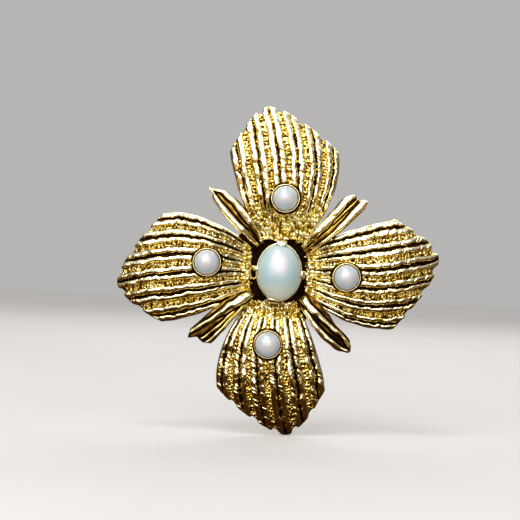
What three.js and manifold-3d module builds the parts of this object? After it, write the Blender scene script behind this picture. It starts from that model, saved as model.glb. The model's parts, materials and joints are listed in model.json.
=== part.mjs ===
// A four-petalled flower brooch with imitation pearls and a pin that swings into a rolling catch.
//
// Units are millimetres. The flower faces -Y, +Z is up, and +X is to the right seen from the front.
// The origin is the middle of the backing plate's rear face. Heights in this file are measured from
// that face towards the front, so a point at height h lies at y = -h, and the pin is at y > 0.

import * as THREE from 'three';
import { mergeVertices } from 'three/addons/utils/BufferGeometryUtils.js';
import Module from 'manifold-3d';

const wasm = await Module();
wasm.setup();

// ---------------------------------------------------------------- driving dimensions

const SEAT_GAP = 0.05; // left between pieces that are soldered, seated or riveted together
const RUNNING_GAP = 0.1; // left round the pieces that turn
const ROUND_SEGMENTS = 20; // sides of a small turned piece

const plate = { radius: 9.7, thickness: 1.2, edge: 0.3, clearRadius: 2.5, segments: 36 };

const petal = {
  innerEnd: 4.9, // distance from the flower's centre to the start of the petal
  tip: 28.4, // distance to the tip
  tipAcross: -0.11, // the tip is a little anticlockwise of the middle
  rimFall: [8.1, 7.8], // how far the rim falls back to its anticlockwise and clockwise ends
  halfWidth: 9.6, // at the shoulders
  baseNarrowing: 5.6, // taken off the half width at the inner end
  widestAt: 21,
  lean: 0.8, // sideways shift of the middle line, greatest at leanAt
  leanAt: 12.5,
  leanFade: 0.0095, // the middle line falls back by this times the distance from leanAt squared
  thickness: 1.2,
  crown: 5.4, // height of the front face along the top of the dome
  crownStart: 13.5, // the dome is at its full height between crownStart and crownEnd
  crownEnd: 17,
  tipHeight: 2.4,
  sideDrop: 1.8, // how much lower the sides are than the middle line
  bands: 6, // raised ribs along the petal
  bandStretch: 0.06, // the bands are a little wider on the anticlockwise side
  channelToBand: 0.5, // width of the sunk channel between two bands over a band's width
  channelDepth: 0.55,
  bandSlope: 0.03, // share of the half width taken by a band's sloping flank
  rows: 8,
};

// The petals were set by hand: "shift" moves each one sideways and outward from its true place, and
// "pearl" is where its pearl stands on it, sideways from its axis and outward from its centre.
const petals = [
  { side: 'top', shift: [0, 0.5], pearl: [0.65, 12.35] },
  { side: 'right', shift: [-0.5, -0.4], pearl: [1.0, 12.1] },
  { side: 'bottom', shift: [0.5, 0], pearl: [1.05, 12.6] },
  { side: 'left', shift: [-0.1, -0.1], pearl: [1.4, 12.7] },
];

const pearl = {
  radius: 2.15,
  girdle: 0.9, // straight height inside the cup
  dome: 2.0,
};

const cup = {
  seatHeight: 4.7, // the flat pocket cut in the petal's front
  radius: 2.45,
  wall: 0.22,
  floor: 0.3,
  height: 1.4,
  postRadius: 0.65,
  headRadius: 1.1,
  headHeight: 3.25, // the front of the peened head behind the petal
  headThickness: 0.5,
};

const cabochon = { halfWidth: 3.8, halfHeight: 4.9, base: 4.55, girdle: 0.5, dome: 3.45 };

const setting = {
  galleryInset: 0.6, // the gallery wall stands this far inside the stone's outline
  galleryWall: 0.6,
  floor: 0.7,
  flangeOverhang: 0.3,
  flangeThickness: 0.5,
  prongHalfWidth: 0.85,
  prongThickness: 0.55,
  prongStart: 3.9,
  prongEnd: 6.3,
};

// Two ridges with a trough between them. "reach" is how far the leaf runs out, from its
// anticlockwise edge over the ridges to its clockwise edge. "low" and "high" are where those two
// edges run, sideways from the axis, from the leaf's inner end to its tip.
const leaf = {
  innerEnd: 5.6,
  thickness: 0.9,
  ridge: 0.7,
  footWidth: 1.1,
  footInner: 7.6,
  footOuter: 9.2,
  rows: 10,
};
const leaves = [
  {
    name: 'leaf_upper_right', // club-shaped, with a stepped end
    axis: 46,
    foot: 45,
    reach: [17.9, 18.5, 19.4, 19.7, 18.9],
    low: [-0.9, -1.1, -1.4, -1.8, -2.15, -1.9],
    high: [1.1, 1.6, 1.95, 2.05, 1.95, 1.9],
  },
  {
    name: 'leaf_lower_right', // pointed, its ridges meeting at the tip
    axis: 137,
    foot: 137,
    reach: [17.8, 18.4, 18.5, 18.3, 17.6],
    low: [-1.3, -2.0, -1.8, -1.45, -1.55, -0.9],
    high: [0.7, 1.5, 1.9, 2.0, 1.7, 0.1],
  },
  {
    name: 'leaf_lower_left', // narrow at its base with two rounded lobes
    axis: 229.5,
    foot: 228,
    reach: [17.2, 18.2, 18.3, 19.6, 18.4],
    low: [-0.55, -1.1, -1.5, -2.0, -2.35, -1.8],
    high: [0.7, 1.75, 2.2, 2.15, 2.0, 1.9],
  },
  {
    name: 'leaf_upper_left', // pointed, its longer ridge curving over to the tip
    axis: 320,
    foot: 320,
    reach: [17.5, 17.8, 19.2, 19.3, 19.1],
    low: [-0.4, -0.7, -1.1, -1.25, -1.2, -0.95],
    high: [1.2, 1.9, 2.2, 2.15, 1.5, -0.4],
  },
];

// The pin and its fittings, on the back of the flower.
const bar = { height: 5, length: 34, width: 3, thickness: 0.8, ear: 0.5, earRadius: 1.25 };
const stem = {
  hingeX: -15,
  y: 2.7, // the axis of the wire behind the plate's rear face
  radius: 0.5,
  eyeRadius: 1.1,
  eyeThickness: 1.7,
  taperStart: 15.8,
  tip: 18,
  tipRadius: 0.08,
};
const rivet = { radius: 0.42, headRadius: 0.8, headThickness: 0.35 };
const catchFitting = {
  x: 13.6,
  length: 2.4,
  outerRadius: 1.8,
  innerRadius: 1.3,
  slotHalfWidth: 0.75,
  footWidth: 2.0,
};
const rotor = {
  boreRadius: 0.62,
  slotHalfWidth: 0.6,
  flangeRadius: 1.55,
  flangeThickness: 0.35,
  tabReach: 3.3,
  tabWidth: 1.1,
};

const finish = {
  gold: { color: 0xd9b45a, roughness: 0.3, metalness: 1 },
  brightGold: { color: 0xe6c778, roughness: 0.2, metalness: 1 },
  darkGold: { color: 0x6b4f23, roughness: 0.5, metalness: 1 },
  pearl: { color: 0xe9ebf0, roughness: 0.25, metalness: 0 },
  stone: { color: 0xcfe4e2, roughness: 0.2, metalness: 0 },
};

// ---------------------------------------------------------------- geometry helpers

const lerp = THREE.MathUtils.lerp;
const rise = THREE.MathUtils.smoothstep;
const degrees = THREE.MathUtils.degToRad;

function signedVolume(position, index) {
  const [a, b, c] = [new THREE.Vector3(), new THREE.Vector3(), new THREE.Vector3()];
  let total = 0;
  for (let i = 0; i < index.length; i += 3) {
    a.fromBufferAttribute(position, index[i]);
    b.fromBufferAttribute(position, index[i + 1]);
    c.fromBufferAttribute(position, index[i + 2]);
    total += a.dot(b.cross(c)) / 6;
  }
  return total;
}

// One watertight skin: shared vertices merged, collapsed triangles dropped, faces turned outward.
function closed(geometry) {
  geometry.deleteAttribute('normal');
  geometry.deleteAttribute('uv');
  const merged = mergeVertices(geometry);
  const source = merged.getIndex().array;
  const index = [];
  for (let i = 0; i < source.length; i += 3) {
    const [a, b, c] = [source[i], source[i + 1], source[i + 2]];
    if (a !== b && b !== c && c !== a) index.push(a, b, c);
  }
  if (signedVolume(merged.getAttribute('position'), index) < 0) index.reverse();
  merged.setIndex(index);
  return merged;
}

function solid(geometry) {
  const skin = closed(geometry);
  return new wasm.Manifold(
    new wasm.Mesh({
      numProp: 3,
      vertProperties: new Float32Array(skin.getAttribute('position').array),
      triVerts: new Uint32Array(skin.getIndex().array),
    }),
  );
}

function geometryOf(body) {
  const { numProp, vertProperties, triVerts } = body.getMesh();
  if (numProp !== 3) throw new Error('a cut solid holds positions only');
  const geometry = new THREE.BufferGeometry();
  geometry.setAttribute('position', new THREE.BufferAttribute(vertProperties, 3));
  geometry.setIndex(new THREE.BufferAttribute(triVerts, 1));
  return geometry;
}

// Joins the first lists' geometries into one solid and takes the second list's away.
function carve(joined, removed = []) {
  let body = solid(joined[0]);
  for (const extra of joined.slice(1)) body = body.add(solid(extra));
  for (const cutter of removed) body = body.subtract(solid(cutter));
  return geometryOf(body);
}

// Turned about the Y axis from [radius, height] corners, heights running to the front.
function turned(profile, segments = ROUND_SEGMENTS) {
  const corners = profile.map(([radius, height]) => new THREE.Vector2(radius, -height));
  return closed(new THREE.LatheGeometry(corners, segments));
}

// A flat outline in X and Z, thickened between two heights.
function slab(shape, low, high, curveSegments = 12) {
  const geometry = new THREE.ExtrudeGeometry(shape, { depth: high - low, bevelEnabled: false, curveSegments });
  geometry.rotateX(Math.PI / 2);
  geometry.translate(0, -low, 0);
  return geometry;
}

function oval(halfWidth, halfHeight) {
  return new THREE.Shape().absellipse(0, 0, halfWidth, halfHeight, 0, 2 * Math.PI, false, 0);
}

function box(x, y, z, [width, depth, height]) {
  return new THREE.BoxGeometry(width, depth, height).translate(x, y, z);
}

// A closed sheet between a front face and a back face, each a function of two coordinates
// that take the values listed in "along" (towards +Z) and "across" (towards +X).
function closedSheet(front, back, along, across) {
  const lastRow = along.length - 1;
  const lastColumn = across.length - 1;
  const positions = [];
  for (const face of [front, back]) {
    for (const s of along) {
      for (const t of across) positions.push(...face(s, t).toArray());
    }
  }
  const perFace = along.length * across.length;
  const frontAt = (i, j) => i * across.length + j;
  const backAt = (i, j) => perFace + frontAt(i, j);
  const index = [];
  const quad = (a, b, c, d) => index.push(a, b, c, a, c, d);
  for (let i = 0; i < lastRow; i++) {
    for (let j = 0; j < lastColumn; j++) {
      quad(frontAt(i, j), frontAt(i, j + 1), frontAt(i + 1, j + 1), frontAt(i + 1, j));
      quad(backAt(i, j), backAt(i + 1, j), backAt(i + 1, j + 1), backAt(i, j + 1));
    }
    quad(frontAt(i, 0), frontAt(i + 1, 0), backAt(i + 1, 0), backAt(i, 0));
    quad(frontAt(i, lastColumn), backAt(i, lastColumn), backAt(i + 1, lastColumn), frontAt(i + 1, lastColumn));
  }
  for (let j = 0; j < lastColumn; j++) {
    quad(frontAt(0, j), backAt(0, j), backAt(0, j + 1), frontAt(0, j + 1));
    quad(frontAt(lastRow, j), frontAt(lastRow, j + 1), backAt(lastRow, j + 1), backAt(lastRow, j));
  }
  const geometry = new THREE.BufferGeometry();
  geometry.setAttribute('position', new THREE.Float32BufferAttribute(positions, 3));
  geometry.setIndex(index);
  return geometry;
}

const evenSteps = (count) => Array.from({ length: count + 1 }, (_, i) => i / count);

const brooch = new THREE.Group();

// Adds a named mesh, turned clockwise about the flower's centre seen from the front.
function addPiece(name, geometry, look, clockwise = 0) {
  const mesh = new THREE.Mesh(geometry, new THREE.MeshStandardMaterial(look));
  mesh.name = name;
  mesh.rotation.y = degrees(clockwise);
  brooch.add(mesh);
}

// ---------------------------------------------------------------- backing plate

function backPlate() {
  const { radius, thickness, edge, clearRadius, segments } = plate;
  return turned(
    [
      [0, 0],
      [clearRadius, 0],
      [radius - edge, 0],
      [radius, edge],
      [radius, thickness - edge],
      [radius - edge, thickness],
      [0, thickness],
    ],
    segments,
  );
}

// ---------------------------------------------------------------- petals

// Along the petal "out" is the distance from the flower's centre; across it t runs from -1 to 1.
function petalHalfWidth(out) {
  const short = Math.max(0, petal.widestAt - out) / (petal.widestAt - petal.innerEnd);
  return petal.halfWidth - petal.baseNarrowing * short ** 1.9;
}

function petalMiddle(out) {
  return petal.lean - petal.leanFade * (out - petal.leanAt) ** 2;
}

function petalRim(t) {
  const [before, after] = petal.rimFall;
  const fromTip = t - petal.tipAcross;
  const share = fromTip < 0 ? fromTip / (-1 - petal.tipAcross) : fromTip / (1 - petal.tipAcross);
  return petal.tip - (fromTip < 0 ? before : after) * share ** 1.55;
}

function petalFrontHeight(out, t) {
  const base = plate.thickness + SEAT_GAP + petal.thickness;
  const climb = (petal.crown - base) * rise(out, petal.innerEnd, petal.crownStart);
  const past = Math.max(0, out - petal.crownEnd) / (petal.tip - petal.crownEnd);
  const droop = (petal.crown - petal.tipHeight) * past ** 2;
  const side = petal.sideDrop * t * t * rise(out, 7, 15);
  return base + climb - droop - side;
}

// The raised bands: each has a foot and a shoulder on both flanks, and a middle line.
function bandSteps() {
  const width = 2 / (petal.bands + (petal.bands - 1) * petal.channelToBand);
  const stretched = (t) => t + petal.bandStretch * (1 - t * t);
  const steps = [];
  for (let band = 0; band < petal.bands; band++) {
    const low = -1 + band * width * (1 + petal.channelToBand);
    const high = low + width;
    steps.push({ t: stretched(low), sunk: true });
    steps.push({ t: stretched(low + petal.bandSlope), sunk: false });
    steps.push({ t: stretched((low + high) / 2), sunk: false });
    steps.push({ t: stretched(high - petal.bandSlope), sunk: false });
    steps.push({ t: stretched(high), sunk: true });
  }
  return steps;
}

function petalSheet() {
  const steps = bandSteps();
  const point = (s, t, below) => {
    const out = lerp(petal.innerEnd, petalRim(t), s);
    const x = petalMiddle(out) + petalHalfWidth(out) * t;
    return new THREE.Vector3(x, below - petalFrontHeight(out, t), out);
  };
  const front = (s, step) => point(s, step.t, step.sunk ? petal.channelDepth * rise(s, 0, 0.3) : 0);
  const back = (s, step) => point(s, step.t, petal.thickness);
  return closedSheet(front, back, evenSteps(petal.rows), steps);
}

// Every petal is the same casting, with a flat pocket cut for the pearl cup and a hole for its post.
function petalCasting([x, z]) {
  const above = petal.crown + 1;
  const cutter = turned([
    [0, 0],
    [cup.postRadius + RUNNING_GAP, 0],
    [cup.postRadius + RUNNING_GAP, cup.seatHeight],
    [cup.radius + RUNNING_GAP, cup.seatHeight],
    [cup.radius + RUNNING_GAP, above],
    [0, above],
  ]).translate(x, 0, z);
  return carve([petalSheet()], [cutter]);
}

// ---------------------------------------------------------------- pearls in their cups

function pearlCup([x, z]) {
  const base = cup.seatHeight + SEAT_GAP;
  const rim = base + cup.height;
  const inside = cup.radius - cup.wall;
  return turned([
    [0, cup.headHeight - cup.headThickness],
    [cup.headRadius * 0.7, cup.headHeight - cup.headThickness],
    [cup.headRadius, cup.headHeight - cup.headThickness / 2],
    [cup.headRadius, cup.headHeight],
    [cup.postRadius, cup.headHeight],
    [cup.postRadius, base],
    [cup.radius, base],
    [cup.radius, rim],
    [inside, rim],
    [inside, base + cup.floor],
    [0, base + cup.floor],
  ]).translate(x, 0, z);
}

// Corners of a domed stone of radius 1, from its flat back over the girdle to its top.
function domeProfile(base, girdle, dome, rings) {
  const corners = [[0, base], [1, base]];
  for (const step of evenSteps(rings)) {
    const angle = (step * Math.PI) / 2;
    corners.push([step === 1 ? 0 : Math.cos(angle), base + girdle + dome * Math.sin(angle)]);
  }
  return corners;
}

function halfPearl([x, z]) {
  const base = cup.seatHeight + cup.floor + 2 * SEAT_GAP;
  return turned(domeProfile(base, pearl.girdle, pearl.dome, 5))
    .scale(pearl.radius, 1, pearl.radius)
    .translate(x, 0, z);
}

// ---------------------------------------------------------------- centre stone and its setting

function centreStone() {
  const profile = domeProfile(cabochon.base, cabochon.girdle, cabochon.dome, 7);
  return turned(profile, 28).scale(cabochon.halfWidth, 1, cabochon.halfHeight);
}

// A claw that follows the stone's side and leans over its dome.
function prong(stoneRadius) {
  const shoulder = cabochon.base + cabochon.girdle;
  const insideRadius = (height) => {
    const up = Math.max(0, height - shoulder) / cabochon.dome;
    return stoneRadius * Math.sqrt(1 - up * up) + 2 * RUNNING_GAP;
  };
  const point = (s, t, proud) => {
    const height = lerp(setting.prongStart, setting.prongEnd, s);
    const width = setting.prongHalfWidth * (1 - 0.35 * s ** 3);
    return new THREE.Vector3(width * t, -height, insideRadius(height) + proud);
  };
  const outer = (s, t) => point(s, t, setting.prongThickness * (1 - 0.6 * t * t) * (1 - 0.3 * s));
  const inner = (s, t) => point(s, t, 0);
  return closedSheet(inner, outer, evenSteps(6), [-1, -0.5, 0, 0.5, 1]);
}

function centreSetting() {
  const { galleryInset, galleryWall, flangeOverhang, flangeThickness } = setting;
  const low = plate.thickness + SEAT_GAP;
  const high = cabochon.base - SEAT_GAP;
  const ovalOffset = (offset) => oval(cabochon.halfWidth + offset, cabochon.halfHeight + offset);
  const gallery = slab(ovalOffset(-galleryInset), low, high);
  const flange = slab(ovalOffset(flangeOverhang), high - flangeThickness, high);
  const hollow = slab(ovalOffset(-galleryInset - galleryWall), low + setting.floor, high + 1);
  const prongs = [0, 90, 180, 270].map((clockwise) => {
    const stoneRadius = clockwise % 180 === 0 ? cabochon.halfHeight : cabochon.halfWidth;
    return prong(stoneRadius).rotateY(degrees(clockwise));
  });
  return carve([gallery, flange, ...prongs], [hollow]);
}

// ---------------------------------------------------------------- leaves

// Piecewise-smooth value of a short list spread evenly from 0 to 1.
function spread(values, s) {
  const place = s * (values.length - 1);
  const low = Math.min(Math.floor(place), values.length - 2);
  return lerp(values[low], values[low + 1], rise(place - low, 0, 1));
}

function leafUnderside(out) {
  return 3 + 1.1 * rise(out, leaf.innerEnd, 10) - 0.6 * rise(out, 14, 20);
}

function leafBlade({ reach, low, high }) {
  const longest = Math.max(...reach);
  const section = [
    { t: -1, up: 0.1 },
    { t: -0.8, up: 1 },
    { t: -0.5, up: 0.7 },
    { t: -0.2, up: 0 },
    { t: 0.2, up: 0 },
    { t: 0.5, up: 0.7 },
    { t: 0.8, up: 1 },
    { t: 1, up: 0.1 },
  ];
  const point = (s, { t }, height) => {
    const across = (t + 1) / 2;
    const out = lerp(leaf.innerEnd, spread(reach, across), s);
    const along = (out - leaf.innerEnd) / (longest - leaf.innerEnd);
    const x = lerp(spread(low, along), spread(high, along), across);
    return new THREE.Vector3(x, -(leafUnderside(out) + height), out);
  };
  const front = (s, corner) => point(s, corner, leaf.thickness + leaf.ridge * corner.up);
  const back = (s, corner) => point(s, corner, 0);
  return closedSheet(front, back, evenSteps(leaf.rows), section);
}

// The foot stands on the backing plate in the gap between two petals.
function leafCasting(shape) {
  const low = plate.thickness + SEAT_GAP;
  const high = leafUnderside(leaf.footOuter) + leaf.thickness / 2;
  const middle = (leaf.footInner + leaf.footOuter) / 2;
  const foot = box(0, -(low + high) / 2, middle, [leaf.footWidth, high - low, leaf.footOuter - leaf.footInner]);
  foot.rotateY(degrees(shape.foot - shape.axis));
  return carve([leafBlade(shape), foot]);
}

// ---------------------------------------------------------------- pin, hinge and catch

// Cylinders along Z and along X, between two positions on that axis.
function rodAlongZ(x, y, low, high, radius) {
  const rod = new THREE.CylinderGeometry(radius, radius, high - low, ROUND_SEGMENTS);
  return rod.rotateX(Math.PI / 2).translate(x, y, (low + high) / 2);
}

function rodAlongX(low, high, radius) {
  const rod = new THREE.CylinderGeometry(radius, radius, high - low, ROUND_SEGMENTS);
  return rod.rotateZ(Math.PI / 2).translate((low + high) / 2, stem.y, bar.height);
}

// A strip with two ears bent up round the hinge rivet.
function pinBar() {
  const low = SEAT_GAP;
  const strip = box(0, low + bar.thickness / 2, bar.height, [bar.length, bar.thickness, bar.width]);
  const joined = [strip];
  for (const side of [-1, 1]) {
    const outside = bar.height + (side * bar.width) / 2;
    const inside = outside - side * bar.ear;
    const [bottom, top] = [Math.min(inside, outside), Math.max(inside, outside)];
    const post = box(stem.hingeX, (low + stem.y) / 2, (bottom + top) / 2, [
      2 * bar.earRadius,
      stem.y - low,
      bar.ear,
    ]);
    joined.push(post, rodAlongZ(stem.hingeX, stem.y, bottom, top, bar.earRadius));
  }
  const reach = bar.width;
  const bore = rodAlongZ(
    stem.hingeX,
    stem.y,
    bar.height - reach,
    bar.height + reach,
    rivet.radius + SEAT_GAP,
  );
  return carve(joined, [bore]);
}

function hingeRivet() {
  const end = bar.width / 2 + SEAT_GAP;
  const far = end + rivet.headThickness;
  const shank = rodAlongZ(stem.hingeX, stem.y, bar.height - far, bar.height + far, rivet.radius);
  const heads = [-1, 1].map((side) => {
    const [low, high] = side < 0 ? [-far, -end] : [end, far];
    return rodAlongZ(stem.hingeX, stem.y, bar.height + low, bar.height + high, rivet.headRadius);
  });
  return carve([shank, ...heads]);
}

// Spring wire with an eye round the rivet and a long point.
function pinStem() {
  const { hingeX, y, radius, eyeRadius, eyeThickness, taperStart, tip, tipRadius } = stem;
  const half = eyeThickness / 2;
  const eye = rodAlongZ(hingeX, y, bar.height - half, bar.height + half, eyeRadius);
  const bore = rodAlongZ(hingeX, y, bar.height - 2, bar.height + 2, rivet.radius + SEAT_GAP);
  const wire = new THREE.LatheGeometry(
    [
      new THREE.Vector2(0, hingeX + eyeRadius / 2),
      new THREE.Vector2(radius, hingeX + eyeRadius / 2),
      new THREE.Vector2(radius, taperStart),
      new THREE.Vector2(tipRadius, tip),
      new THREE.Vector2(0, tip),
    ],
    12,
  );
  wire.rotateZ(-Math.PI / 2).translate(0, y, bar.height);
  return carve([eye, wire], [bore]);
}

// An open ring soldered on the bar; its slot faces away from the flower.
function catchHousing() {
  const { x, length, outerRadius, innerRadius, slotHalfWidth, footWidth } = catchFitting;
  const low = x - length / 2;
  const high = x + length / 2;
  const footLow = bar.thickness + 2 * SEAT_GAP;
  const footHigh = stem.y - innerRadius - RUNNING_GAP;
  const foot = box(x, (footLow + footHigh) / 2, bar.height, [length, footHigh - footLow, footWidth]);
  const slot = box(x, stem.y + outerRadius, bar.height, [2 * length, 2 * outerRadius, 2 * slotHalfWidth]);
  const bore = rodAlongX(low - 1, high + 1, innerRadius);
  return carve([rodAlongX(low, high, outerRadius), foot], [bore, slot]);
}

// A slotted sleeve that turns inside the housing, with a flange at each end and a thumb tab.
function catchRotor() {
  const { boreRadius, slotHalfWidth, flangeRadius, flangeThickness, tabReach, tabWidth } = rotor;
  const { x, length, innerRadius } = catchFitting;
  const near = length / 2 + RUNNING_GAP;
  const far = near + flangeThickness;
  const sleeve = rodAlongX(x - far, x + far, innerRadius - RUNNING_GAP);
  const flanges = [rodAlongX(x - far, x - near, flangeRadius), rodAlongX(x + near, x + far, flangeRadius)];
  const tabLength = tabReach - innerRadius / 2;
  const tab = box(x + (near + far) / 2, stem.y, bar.height - tabReach + tabLength / 2, [
    flangeThickness,
    tabWidth,
    tabLength,
  ]);
  const bore = rodAlongX(x - far - 1, x + far + 1, boreRadius);
  const slot = box(x, stem.y + flangeRadius, bar.height, [2 * length, 2 * flangeRadius, 2 * slotHalfWidth]);
  return carve([sleeve, ...flanges, tab], [bore, slot]);
}

// ---------------------------------------------------------------- assembly

addPiece('back_plate', backPlate(), finish.darkGold);

petals.forEach(({ side, shift, pearl: place }, quarter) => {
  const [sideways, outward] = shift;
  const set = (name, geometry, look) => {
    addPiece(`${name}_${side}`, geometry.translate(sideways, 0, outward), look, 90 * quarter);
  };
  set('petal', petalCasting(place), finish.gold);
  set('pearl_cup', pearlCup(place), finish.brightGold);
  set('pearl', halfPearl(place), finish.pearl);
});

for (const shape of leaves) addPiece(shape.name, leafCasting(shape), finish.brightGold, shape.axis);

addPiece('centre_setting', centreSetting(), finish.brightGold);
addPiece('centre_cabochon', centreStone(), finish.stone);
addPiece('pin_bar', pinBar(), finish.gold);
addPiece('hinge_rivet', hingeRivet(), finish.gold);
addPiece('pin_stem', pinStem(), finish.brightGold);
addPiece('catch_housing', catchHousing(), finish.gold);
addPiece('catch_rotor', catchRotor(), finish.brightGold);

export default brooch;
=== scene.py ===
import json
import math

import bpy
import numpy as np
from mathutils import Matrix, Vector


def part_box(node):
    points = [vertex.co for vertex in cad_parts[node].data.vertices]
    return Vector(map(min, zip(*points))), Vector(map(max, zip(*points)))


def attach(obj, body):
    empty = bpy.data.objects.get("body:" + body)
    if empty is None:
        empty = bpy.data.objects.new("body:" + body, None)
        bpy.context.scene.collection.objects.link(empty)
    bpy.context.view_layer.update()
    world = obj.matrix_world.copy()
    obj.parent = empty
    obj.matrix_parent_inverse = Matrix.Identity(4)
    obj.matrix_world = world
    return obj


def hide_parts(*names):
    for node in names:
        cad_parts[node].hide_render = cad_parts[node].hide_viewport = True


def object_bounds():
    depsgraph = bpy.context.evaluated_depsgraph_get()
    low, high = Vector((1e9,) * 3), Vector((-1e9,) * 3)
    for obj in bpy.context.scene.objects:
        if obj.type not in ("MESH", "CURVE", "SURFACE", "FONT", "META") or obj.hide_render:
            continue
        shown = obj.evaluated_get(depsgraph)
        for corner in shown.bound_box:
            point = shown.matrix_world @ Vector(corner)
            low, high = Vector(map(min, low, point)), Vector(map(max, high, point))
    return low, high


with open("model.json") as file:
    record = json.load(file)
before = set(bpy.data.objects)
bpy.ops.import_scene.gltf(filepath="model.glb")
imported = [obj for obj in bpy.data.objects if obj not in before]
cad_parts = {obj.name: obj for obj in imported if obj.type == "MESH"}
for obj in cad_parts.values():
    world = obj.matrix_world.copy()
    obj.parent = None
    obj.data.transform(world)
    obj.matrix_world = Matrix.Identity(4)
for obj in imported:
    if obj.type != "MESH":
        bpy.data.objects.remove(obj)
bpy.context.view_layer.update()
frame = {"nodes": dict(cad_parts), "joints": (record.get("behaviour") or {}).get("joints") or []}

# Detailed meshes and materials for the flower brooch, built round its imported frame.
#
# Shapes are worked out in millimetres in the frame's axes: the flower faces -Y, +Z is up and +X is to
# the right seen from the front. A "height" is measured from the backing plate's rear face towards the
# front, so a point at height h lies at y = -h. Each petal and leaf is shaped pointing up (+Z), "out"
# being the distance from the flower's centre, and then turned clockwise, seen from the front, into
# its place.

MM = 0.001
SIDES = ("top", "right", "bottom", "left")


# -------------------- sizes, taken from the frame


def extent(node):
    """A CAD node's lowest and highest corners in millimetres."""
    low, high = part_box(node)
    return low / MM, high / MM


def turned_clockwise(points, degrees):
    """Turns points about the Y axis, clockwise seen from the front."""
    c, s = math.cos(math.radians(degrees)), math.sin(math.radians(degrees))
    x, y, z = points[..., 0], points[..., 1], points[..., 2]
    return np.stack([x * c + z * s, y, z * c - x * s], axis=-1)


def upright(node, quarter):
    """A node's lowest and highest corners after turning its quarter of the flower back to the top."""
    corners = turned_clockwise(np.array([tuple(corner) for corner in extent(node)]), -90.0 * quarter)
    return corners.min(axis=0), corners.max(axis=0)


def front_height(node):
    return -extent(node)[0].y


def rear_height(node):
    return -extent(node)[1].y


PLATE_FRONT = front_height("back_plate")
PLATE_RADIUS = extent("back_plate")[1].x
SOLDER_GAP = 0.05

PETAL_INNER = 4.9
PETAL_TIP = PETAL_INNER + upright("petal_top", 0)[1][2] - upright("petal_top", 0)[0][2]
PETAL_CROWN = front_height("petal_top")
PETAL_THICKNESS = 1.2
PETAL_BASE = PLATE_FRONT + SOLDER_GAP + PETAL_THICKNESS
PETAL_TIP_HEIGHT = 2.4
CROWN_START = 13.5
CROWN_END = 17.0
SIDE_DROP = 1.8

CUP_RADIUS = (extent("pearl_cup_top")[1].x - extent("pearl_cup_top")[0].x) / 2
CUP_RIM = front_height("pearl_cup_top")
CUP_DEPTH = 1.4
CUP_WALL = 0.13
CUP_SEAT = CUP_RIM - CUP_DEPTH
CUP_REAR = rear_height("pearl_cup_top")
PEARL_RADIUS = (extent("pearl_top")[1].x - extent("pearl_top")[0].x) / 2
PEARL_BASE = rear_height("pearl_top")
PEARL_TOP = front_height("pearl_top")

STONE_HALF_WIDTH = extent("centre_cabochon")[1].x
STONE_HALF_HEIGHT = extent("centre_cabochon")[1].z
STONE_BASE = rear_height("centre_cabochon")
STONE_TOP = front_height("centre_cabochon")
STONE_GIRDLE = 0.5

PIN_HINGE = Vector(frame["joints"][0]["pos_m"]) / MM
PIN_TIP = extent("pin_stem")[1].x
WIRE_RADIUS = 0.5


def petal_shift(side, quarter):
    """How far a petal was set sideways and outward of its true place."""
    low, high = upright(f"petal_{side}", quarter)
    true_low, true_high = upright("petal_top", 0)
    return (low[0] + high[0] - true_low[0] - true_high[0]) / 2, low[2] - PETAL_INNER


def pearl_place(side, quarter):
    """Where a pearl stands, sideways and outward, with its petal turned to the top."""
    low, high = upright(f"pearl_cup_{side}", quarter)
    return (low[0] + high[0]) / 2, (low[2] + high[2]) / 2


# -------------------- number helpers


def rise(value, low, high):
    """Smoothly from 0 at low to 1 at high."""
    x = np.clip((value - low) / (high - low), 0.0, 1.0)
    return x * x * (3.0 - 2.0 * x)


def bump(distance, width):
    """A rounded hill: 1 in the middle, falling away over the width."""
    return np.exp(-((distance / width) ** 2))


def scatter(seed, i, j=0.0):
    """A fixed pseudo-random number from -1 to 1 for each lattice point."""
    value = np.sin(i * 127.1 + j * 311.7 + seed * 74.7) * 43758.5453
    return 2.0 * (value - np.floor(value)) - 1.0


def waver(x, seed):
    """Smooth noise along one coordinate, with hills about one unit apart."""
    i = np.floor(x)
    mix = rise(x - i, 0.0, 1.0)
    return scatter(seed, i) * (1.0 - mix) + scatter(seed, i + 1.0) * mix


def grain(x, y, seed):
    """Smooth noise over two coordinates, with hills about one unit apart."""
    i, j = np.floor(x), np.floor(y)
    u, v = rise(x - i, 0.0, 1.0), rise(y - j, 0.0, 1.0)
    near = scatter(seed, i, j) * (1.0 - u) + scatter(seed, i + 1.0, j) * u
    far = scatter(seed, i, j + 1.0) * (1.0 - u) + scatter(seed, i + 1.0, j + 1.0) * u
    return near * (1.0 - v) + far * v


def pebbles(x, y, spacing, radius, seed):
    """Height of a surface strewn with round grains, from 0 up to about the radius."""
    tallest = np.zeros(x.shape)
    for di in (-1, 0, 1):
        for dj in (-1, 0, 1):
            i, j = np.floor(x / spacing) + di, np.floor(y / spacing) + dj
            middle_x = (i + 0.5 + 0.35 * scatter(seed, i, j)) * spacing
            middle_y = (j + 0.5 + 0.35 * scatter(seed + 1, i, j)) * spacing
            size = radius * (0.8 + 0.3 * scatter(seed + 2, i, j))
            gap = ((x - middle_x) ** 2 + (y - middle_y) ** 2) / size**2
            tallest = np.maximum(tallest, size * np.sqrt(np.maximum(0.0, 1.0 - gap)))
    return tallest


# -------------------- mesh helpers

BACK_STEP = 4  # how many times coarser a sheet is behind than in front


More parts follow.
